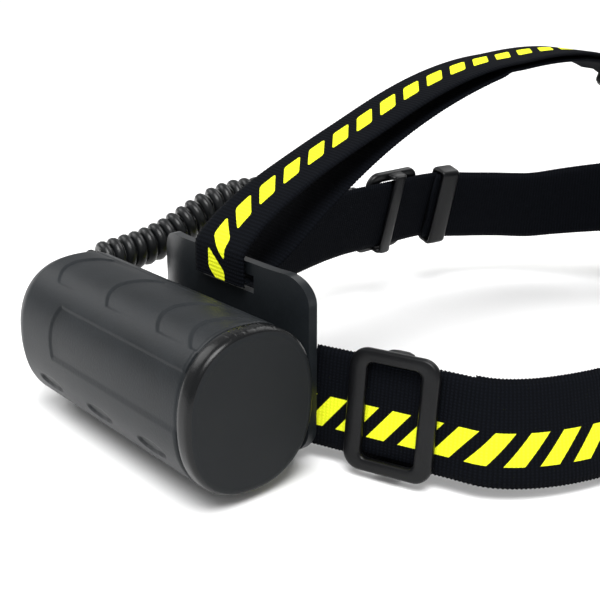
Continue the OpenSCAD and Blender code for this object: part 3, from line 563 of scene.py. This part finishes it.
def left_plan(s):
    """Plan of the left strap at station s, from 0 at the plate to 27 at the bracket."""
    a, b, c, d = (np.array(p, float) for p in line_l)
    near = bezier([a, a + [-12, 6], b - [0, 50], b], np.clip(s / 10, 0, 1))
    straight = b + (c - b) * np.clip((s - 10) / 5, 0, 1)[:, None]
    far = bezier([c, c + [0, 28], d + [-26, -12], d], np.clip((s - 15) / 12, 0, 1))
    return np.where((s < 10)[:, None], near, np.where((s < 15)[:, None], straight, far))


def eased(stations, table):
    """Table looked up at stations, with its corners rounded by a short running mean."""
    table = np.array(table, float)
    return sum(np.interp(stations + d, table[:, 0], table[:, 1]) for d in np.linspace(-0.6, 0.6, 7)) / 7


def evenly(path, step):
    """Parameters at even steps of length along a path sampled densely."""
    run = np.concatenate([[0], np.cumsum(np.linalg.norm(np.diff(path, axis=0), axis=1))])
    even = np.linspace(0, run[-1], int(run[-1] / step) + 1)
    return np.interp(even, run, np.arange(len(path))), even


def webbing_shell(name, middle, across, out, width):
    """Closed band of elastic. At each station a flat section stands on across and out: its
    half thickness falls as sqrt(1 - |u|^9) towards its edges, which swell in small picots, one
    a rib. The map is the run and the width in metres, moved off the print behind."""
    run = np.concatenate([[0], np.cumsum(np.linalg.norm(np.diff(middle, axis=0), axis=1))])
    face = np.linspace(-1, 1, face_points)
    u = np.concatenate([face, face[::-1][1:-1]])
    side = np.concatenate([np.ones(face_points), -np.ones(face_points - 2)])
    plump = np.sqrt(np.clip(1 - np.abs(u) ** 9, 0, 1)) * side
    picot = 0.16 * np.cos(2 * math.pi * run / rib_pitch)[:, None] * (np.abs(u) > edge_share)[None]
    rib = 0.035 * np.cos(2 * math.pi * run / rib_pitch)[:, None]
    w = u[None] * (width / 2 - 0.2) + np.sign(u)[None] * picot
    h = plump[None] * (strap_t / 2 - 0.05 + rib)
    points = middle[:, None] + across[:, None] * w[..., None] + out[:, None] * h[..., None]
    uv = np.stack([np.broadcast_to(run[:, None], w.shape) * mm, w * mm], -1)
    band = grid_mesh(name, row(points), around=True, uv=uv, caps=True)
    layer = band.data.uv_layers["along"].data
    laid = np.zeros(len(layer) * 2)
    layer.foreach_get("uv", laid)
    laid = laid.reshape(-1, 2)
    column = np.repeat(np.arange((len(run) - 1) * len(u)) % len(u), 4)
    laid[:len(column), 1] += (column >= face_points - 1) * unprinted
    layer.foreach_set("uv", laid.ravel())
    return band, run[-1]


def side_strap(name, plan, drop, lean, side, start, end, layer):
    """A side strap from station start to end, moved layer mm outwards. It follows its plan at
    the height that drop gives, and stands on edge, tipped by lean degrees."""
    dense = np.linspace(start, end, 4000)
    flat = np.column_stack([plan(dense), eased(dense, drop)])
    s, _ = evenly(flat, ring_step)
    station = np.interp(s, np.arange(4000), dense)
    p = plan(station)
    ahead = np.gradient(p, axis=0)
    ahead /= np.linalg.norm(ahead, axis=1)[:, None]
    k = np.ones(9) / 9
    for _ in range(4):
        ahead = np.column_stack([np.convolve(np.pad(ahead[:, i], 4, "edge"), k, "valid") for i in (0, 1)])
    ahead /= np.linalg.norm(ahead, axis=1)[:, None]
    tip = np.radians(eased(station, lean))[:, None]
    n = side * np.column_stack([ahead[:, 1], -ahead[:, 0]])
    out = np.column_stack([n * np.cos(tip), np.sin(tip)])
    across = np.column_stack([-n * np.sin(tip), np.cos(tip)])
    middle = np.column_stack([p, eased(station, drop)]) + out * layer
    return webbing_shell(name, middle, across, out, band_w)


def bar(value, half, soft):
    """1 where the value's size is under half, 0 past it, with a soft edge."""
    return value.math("ABSOLUTE").ramp(half - soft, half + soft, 1.0, 0.0)


def slant_marks(run, wide, fuzz):
    """Bars that lean across the strap, one in each slant_pitch, below its middle."""
    leaned = run - (wide + slant_low) * print_lean + fuzz * (0.25 * mm)
    cell = (leaned / slant_pitch).math("FRACT") - 0.5
    return (bar(cell * slant_pitch, 2.9 * mm, 0.12 * mm)
            * bar(wide + slant_low + fuzz * (0.2 * mm), 4.9 * mm, 0.12 * mm))


def square_marks(run, wide, fuzz):
    """Leaning blocks with round corners: the distance outside a small box, under a radius."""
    leaned = run - (wide - square_high) * print_lean + fuzz * (0.2 * mm) + 2.2 * mm
    cell = (leaned / square_pitch).math("FRACT") - 0.5
    px = (cell * square_pitch).math("ABSOLUTE").math("MAXIMUM", 2.3 * mm) - 2.3 * mm
    py = (wide - square_high).math("ABSOLUTE").math("MAXIMUM", 3.1 * mm) - 3.1 * mm
    return (px * px + py * py).math("SQRT").ramp(0.95 * mm, 1.1 * mm, 1.0, 0.0)


def webbing_finish(name, marks):
    """Black knitted elastic: ribs across and fine stitches, both sines of the map, with the neon print laid
    over the knit where marks, if there are any, give 1; the print also gives off a faint painted glow, though
    it is no lamp."""
    made, shader, at = finish(name, (0.004, 0.0045, 0.006), 0.9, specular=0.05)
    uv = at.node("ShaderNodeUVMap", {"uv_map": "along"})
    split = at.tree.nodes.new("ShaderNodeSeparateXYZ")
    at.tree.links.new(uv.link, split.inputs[0])
    run, wide = Socket(at.tree, split.outputs[0]), Socket(at.tree, split.outputs[1])
    rib = (run * (2 * math.pi / (rib_pitch * mm))).math("SINE")
    ends = (wide * (2 * math.pi / (thread_pitch * mm))).math("SINE")
    knit = rib * 0.6 + ends * 0.4 + (rib * ends) * 0.5
    fuzz = noise(at, 2600, 3.0, 0.7)
    # painted shade: the knit's colour is darker in its grooves and lighter on its ribs, following its bump,
    # with a random yarn tone from the fuzz
    dark = tint(at, knit.ramp(-1, 1) * 0.6 + fuzz * 0.4, (0.0012, 0.0014, 0.002), (0.0045, 0.0056, 0.0085))
    colour = dark
    if marks:
        shape = marks(run, wide, fuzz)
        # painted shade: the print too is darker in the knit's grooves and lighter on its ribs, with a random
        # tone from the fuzz
        printed = tint(at, knit.ramp(-1, 1) * 0.5 + fuzz * 0.5, (0.74, 0.80, 0.01), (0.95, 1.0, 0.04))
        colour = at.node("ShaderNodeMix", {"data_type": "RGBA"}, out=2, i0=shape, i6=dark, i7=printed)
        feed(shader, "Roughness", 0.88 - shape * 0.3)
        # painted glow: the print gives off a faint yellow light of its own, though it is no lamp
        feed(shader, "Emission Color", tint(at, shape, (0, 0, 0), (0.85, 0.95, 0.02)))
        shader.inputs["Emission Strength"].default_value = 0.12
    feed(shader, "Base Color", colour)
    feed(shader, "Normal", bump(at, knit * 0.35 + fuzz * 0.5, 0.00014))
    return made


plain_knit = webbing_finish("webbing_plain", None)
slant_knit = webbing_finish("webbing_slants", slant_marks)
square_knit = webbing_finish("webbing_squares", square_marks)


def dress_strap(made, knit, node):
    """Gives a strap its knit and its body, and hides its CAD solid."""
    strap, length = made
    strap.data.materials.append(knit)
    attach(strap, "headband")
    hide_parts(node)


right_way, left_way = (right_plan, drop_r, lean_r, 1), (left_plan, drop_l, lean_l, -1)
dress_strap(side_strap("band_right", *right_way, 0, 27, 0), slant_knit, "strap_right")
dress_strap(side_strap("band_right_under", *right_way, 5, 27, -fold_gap), plain_knit,
            "strap_right_return")
dress_strap(side_strap("band_left", *left_way, 0, 27, 0), slant_knit, "strap_left")
dress_strap(side_strap("band_left_under", *left_way, 15, 27, -fold_gap), plain_knit,
            "strap_left_return")

# Strap over the head: the same knit, narrower, with rounded yellow blocks. It
# hangs on the front bracket's bar, passes its slider and goes into the slot at
# the top of the holder plate, and the layer folded back runs underneath it.
top_w = 26.0
plate_rear, plate_crest = 23.15, 32.0     # the holder plate's rear face and its top edge
reach, bar_crest = 229.85, 40.0           # distance to the bracket's bar, and its top
skew = math.atan2(30, reach)              # the lamp stands 30 mm to one side
flat_run = [[168, 78], [206, 57]]         # straight stretch that carries the slider


def top_line(parts):
    """Side view [y, z] through a list of Beziers and points, sampled densely."""
    lines = [bezier(p, np.linspace(0, 1, 60)) if len(p) == 4 else np.array(p, float) for p in parts]
    line = np.vstack(lines)
    keep = np.concatenate([[True], np.linalg.norm(np.diff(line, axis=0), axis=1) > 1e-6])
    return line[keep]


over = top_line([
    [[-strap_t, plate_crest - 8], [-strap_t, plate_crest - 3]],
    [[-strap_t, plate_crest + 2], [8, plate_crest + 15.5], [34, 58.5], [52, 66.7]],
    [[52, 66.7], [66, 73.2], [86, 83], [112, 84.2]],
    [[112, 84.2], [132, 86.5], [152, 86.8], flat_run[0]],
    [flat_run[0], flat_run[1]],
    [flat_run[1], [218, 51.5], [reach - 4, bar_crest + 8], [reach + strap_t, bar_crest + 1]],
    [[reach + strap_t, bar_crest - 3], [reach + strap_t, bar_crest - 8]]])
heading_over = np.gradient(over, axis=0)
heading_over /= np.linalg.norm(heading_over, axis=1)[:, None]
lower_side = over + fold_gap * np.column_stack([heading_over[:, 1], -heading_over[:, 0]])
from_meet = (over[:, 0] > 104) & (over[:, 0] < 166)
under = np.vstack([top_line([
    [[-strap_t / 2 + 0.2, plate_crest - 6.7], [1.2, plate_crest - 6.65]],
    [[3, plate_crest - 6.6], [22, plate_crest - 3], [39, 64], [103, 80.2]]]), lower_side[from_meet]])


def head_strap(name, side_view):
    """The top strap: its side view stands on the skewed line to the lamp, square at both ends."""
    k = np.ones(5) / 5
    s, _ = evenly(side_view, ring_step)
    p = np.column_stack([np.interp(s, np.arange(len(side_view)), side_view[:, i]) for i in (0, 1)])
    for _ in range(6):
        p[2:-2] = np.column_stack([np.convolve(p[:, i], k, "valid") for i in (0, 1)])
    a = np.gradient(p, axis=0)
    a /= np.linalg.norm(a, axis=1)[:, None]
    turn = (skew * np.clip(np.minimum(p[:, 0] / 30, (reach - p[:, 0]) / 30), 0, 1))[:, None]
    middle = np.column_stack([p[:, 0] * math.tan(skew), plate_rear + p[:, 0], p[:, 1]])
    across = np.column_stack([np.cos(turn), -np.sin(turn), np.zeros_like(turn)])
    out = np.column_stack([np.zeros(len(p)), -a[:, 1], a[:, 0]])
    return webbing_shell(name, middle, -across, out, top_w)


dress_strap(head_strap("band_over", over), square_knit, "top_strap")
dress_strap(head_strap("band_over_under", under), plain_knit, "top_strap_return")

# Strap keepers: nylon loops moulded in one piece, with rounded edges. Each holds
# the two layers of a side strap together past its slider.
keeper_gap, keeper_wall = 0.8, 1.6
keeper_l = 9.0


def rounded_outline(hx, hz, r, n=10):
    """Corner arcs of a rounded rectangle, n points each, anticlockwise from +x +z."""
    a = np.radians(np.linspace(0, 90, n))
    corners = [((hx - r) * cx, (hz - r) * cz, k)
               for cx, cz, k in ((1, 1, 0), (-1, 1, 1), (-1, -1, 2), (1, -1, 3))]
    return np.vstack([np.column_stack([x + r * np.cos(a + k * math.pi / 2),
                                       z + r * np.sin(a + k * math.pi / 2)]) for x, z, k in corners])


def on_side_strap(plan, drop, lean, side, station):
    """A point on a side strap with its directions along and out."""
    s = np.array([station - 0.02, station, station + 0.02])
    p, z = plan(s), np.interp(s, *np.array(drop, float).T)
    along = np.append(p[2] - p[0], 0)
    along /= np.linalg.norm(along)
    tip = math.radians(np.interp(station, *np.array(lean, float).T))
    out = side * np.array([along[1], -along[0], 0]) * math.cos(tip) + np.array([0, 0, math.sin(tip)])
    return np.append(p[1], z[1]), along, out


def weld(parts):
    """Joins parts into the first one, closes its seams and turns its faces outwards."""
    bpy.ops.object.select_all(action="DESELECT")
    for part in parts:
        part.select_set(True)
    bpy.context.view_layer.objects.active = parts[0]
    if len(parts) > 1:
        bpy.ops.object.join()
    bpy.ops.object.mode_set(mode="EDIT")
    bpy.ops.mesh.select_all(action="SELECT")
    bpy.ops.mesh.remove_doubles(threshold=0.00001)
    bpy.ops.mesh.normals_make_consistent(inside=False)
    bpy.ops.object.mode_set(mode="OBJECT")


def dress_plastic(piece, body, node):
    """Gives a moulded strap fitting its plastic and its body, and hides its CAD solid."""
    piece.data.materials.append(finishes["black_plastic"])
    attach(piece, body)
    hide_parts(node)


def place_keeper(name, node, at, along, out):
    """A moulded loop round both layers: its rounded-rectangle outline lies across the strap,
    and a rounded section as long as the keeper is swept round it."""
    across = np.cross(along, -out)
    middle = (strap_t + 0.6) / 2
    half_depth, half_width = middle + strap_t / 2 + keeper_gap, band_w / 2 + 0.5
    inner = rounded_outline(half_depth, half_width, 0.8)
    outer = rounded_outline(half_depth + keeper_wall, half_width + keeper_wall, 2.2)
    v = np.linspace(0, 2 * math.pi, 16, endpoint=False)
    share = 0.5 + 0.5 * np.sign(np.cos(v)) * np.abs(np.cos(v)) ** 0.6
    length = keeper_l / 2 * np.sign(np.sin(v)) * np.abs(np.sin(v)) ** 0.45
    flat = inner[:, None] + (outer - inner)[:, None] * share[None, :, None]
    flat, length = np.concatenate([flat, flat[:1]]), length[None, :, None]
    loop = grid_mesh(name, row(at + length * along - (flat[..., :1] + middle) * out
                               + flat[..., 1:] * across), around=True)
    weld([loop])
    dress_plastic(loop, "headband", node)


place_keeper("keeper_loop_right", "keeper_right", *on_side_strap(*right_way, 20))
place_keeper("keeper_loop_left", "keeper_left", *on_side_strap(*left_way, 16))

# Three-bar sliders: injection-moulded nylon frames with rounded edges. The
# frame lies outside the strap, and its middle bar, behind the strap, is
# joined to it by a post at each side.
rail_out, slider_l, slider_bar, slider_rail = 2.8, 28.4, 5.6, 4.0
frame_t = 3.1
post_half = 4.2


def frame_ring(half_w):
    """The slider's frame: a rounded section swept between its inner and outer outlines."""
    outer = rounded_outline(slider_l / 2, half_w + rail_out, 5.5)
    inner = rounded_outline(slider_l / 2 - slider_bar, half_w + rail_out - slider_rail, 2.2)
    v = np.linspace(0, 2 * math.pi, 16, endpoint=False)
    c, t = np.cos(v), np.sin(v)
    share = 0.5 + 0.5 * np.sign(c) * np.abs(c) ** 0.55
    thick = np.sign(t) * np.abs(t) ** 0.55 * frame_t / 2
    flat = inner[:, None] + (outer - inner)[:, None] * share[None, :, None]
    y = -(strap_t / 2 + 0.4 + frame_t / 2) - thick
    ring = np.stack([flat[..., 0], np.broadcast_to(y, flat.shape[:2]), flat[..., 1]], -1)
    return np.concatenate([ring, ring[:1]])


def rounded_bar(hx, y0, y1, z0, z1):
    """A bar with a superellipse section in x and y from z0 to z1, its ends drawn in."""
    v = np.linspace(0, 2 * math.pi, 20, endpoint=False)[None]
    k = np.array([0, 0.75, 1, 1, 0.75, 0])[:, None]
    z = np.array([z0, z0, z0 + 0.5, z1 - 0.5, z1, z1])[:, None]
    x = hx * k * np.sign(np.cos(v)) * np.abs(np.cos(v)) ** 0.5
    y = (y0 + y1) / 2 + (y1 - y0) / 2 * k * np.sign(np.sin(v)) * np.abs(np.sin(v)) ** 0.5
    return np.stack([x, y, z * np.ones_like(v)], -1)


def place_slider(name, node, body, half_w, at, along, out):
    """Sets the frame, bar and posts on a strap: at, along and out place local x and -y."""
    across = np.cross(along, -out)
    low, high = -half_w - rail_out + 0.5, half_w + rail_out - 0.5
    shapes = (frame_ring(half_w), rounded_bar(slider_bar / 2, 1.2, 3.0, low, high),
              rounded_bar(post_half, -3.2, 2.6, high - 1.9, high + 0.2),
              rounded_bar(post_half, -3.2, 2.6, low - 0.2, low + 1.9))
    parts = [grid_mesh(name, row(at + p[..., :1] * along - p[..., 1:2] * out + p[..., 2:] * across),
                       around=True) for p in shapes]
    weld(parts)
    dress_plastic(parts[0], body, node)


place_slider("slider_frame_right", "slider_right", "right_slider", band_w / 2,
             *on_side_strap(*right_way, 2.7))
place_slider("slider_frame_left", "slider_left", "left_slider", band_w / 2,
             *on_side_strap(*left_way, 12.7))
flat_a = math.atan2(flat_run[1][1] - flat_run[0][1], flat_run[1][0] - flat_run[0][0])
top_at = np.array(flat_run[0]) + 16 * np.array([math.cos(flat_a), math.sin(flat_a)])
turned = np.array([math.sin(skew), math.cos(skew), 0])
place_slider("slider_frame_top", "slider_top", "top_slider", top_w / 2,
             np.array([top_at[0] * math.tan(skew), plate_rear + top_at[0], top_at[1]]),
             turned * math.cos(flat_a) + np.array([0, 0, math.sin(flat_a)]),
             -turned * math.sin(flat_a) + np.array([0, 0, math.cos(flat_a)]))

# Pads: soft foam under a brushed fabric face, glued to the head side of the
# holder plate and of the lamp's bracket. Their edges are pressed thin.
quilt_pitch = 3.5 * mm


def pillow(name, node):
    """Crowned pad filling a CAD pad's box: a rounded rectangle whose thickness falls as
    (1 - stretch^4)^0.6 towards its rim, with a shallow quilt of two cosines, and a flat back."""
    lo, hi = (np.array(v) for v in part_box(node))
    mid, half = (lo + hi) / 2, (hi - lo) / 2
    r = np.linspace(0, 1, 22)[:, None]
    a = np.linspace(0, 2 * math.pi, 96, endpoint=False)[None]
    c, s = np.cos(a), np.sin(a)
    stretch = r ** 0.8
    x = mid[0] + half[0] * stretch * np.sign(c) * np.abs(c) ** 0.5
    z = mid[2] + half[2] * stretch * np.sign(s) * np.abs(s) ** 0.5
    crown = (1 - stretch ** 4) ** 0.6
    quilt = (0.12 * np.cos((x - mid[0]) / quilt_pitch * math.pi)
             * np.cos((z - mid[2]) / quilt_pitch * math.pi) * (1 - stretch ** 6))
    front_y = mid[1] + half[1] * (-0.1 + crown + 0.05 * quilt)
    back_y = (mid[1] - half[1] * 0.98 * (1 - 0.5 * stretch ** 10)) * np.ones_like(x)
    front, back = np.stack([x, front_y, z], -1), np.stack([x, back_y, z], -1)[::-1]
    return grid_mesh(name, np.vstack([front, back[1:]]), around=True)


foam_cloth, foam_shader, foam_at = finish("pad_foam", (0.02, 0.021, 0.024), 0.9, specular=0.2,
                                          Sheen_Weight=0.4, Sheen_Roughness=0.4)
foam_weave = noise(foam_at, 1800, 3.0, 0.7)
foam_cells = foam_at.node("ShaderNodeTexVoronoi", Vector=foam_at, Scale=900.0)
feed(foam_shader, "Base Color", tint(foam_at, foam_weave, (0.014, 0.015, 0.018), (0.035, 0.037, 0.042)))
feed(foam_shader, "Normal", bump(foam_at, foam_cells * 0.6 + foam_weave * 0.4, 0.00025))
for pad_name, pad_node in (("pad_rear", "rear_pad"), ("pad_front", "front_pad")):
    pad = pillow(pad_name, pad_node)
    pad.data.materials.append(foam_cloth)
    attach(pad, "headband")
    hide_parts(pad_node)

# Focus ring grip: rows of small rounded ribs moulded round the lamp's ring.
ring_lo, ring_hi = (np.array(v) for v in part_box("focus_ring"))
ring_mid, ring_half = (ring_lo + ring_hi) / 2, (ring_hi - ring_lo) / 2
grip_ribs = 48
grip_len = (ring_hi[1] - ring_lo[1]) * 0.5
grip_a = np.linspace(0, 2 * math.pi, grip_ribs * 8, endpoint=False)[None]
grip_y = np.linspace(0, 1, 20)[:, None]
# radius: the ring's, plus a rib where the cosine of the rib count times the angle is high
rib_up = 0.35 * mm * np.clip(np.cos(grip_a * grip_ribs) + 0.2, 0, 1) ** 0.5
rib_ends = step_up(grip_y, 0.02, 0.14) * (1 - step_up(grip_y, 0.86, 0.98))
grip_r = ring_half[0] - 0.2 * mm + rib_up * rib_ends - 0.4 * mm * (np.abs(grip_y - 0.5) > 0.49)
grip = grid_mesh("ring_grip",
                 np.stack([ring_mid[0] + grip_r * np.cos(grip_a),
                           (ring_mid[1] - grip_len / 2 + grip_len * grip_y) * np.ones_like(grip_a),
                           ring_mid[2] + grip_r * np.sin(grip_a)], -1)[:, ::-1], around=True)
grip.data.materials.append(finishes["seal_rubber"])
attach(grip, "ring")
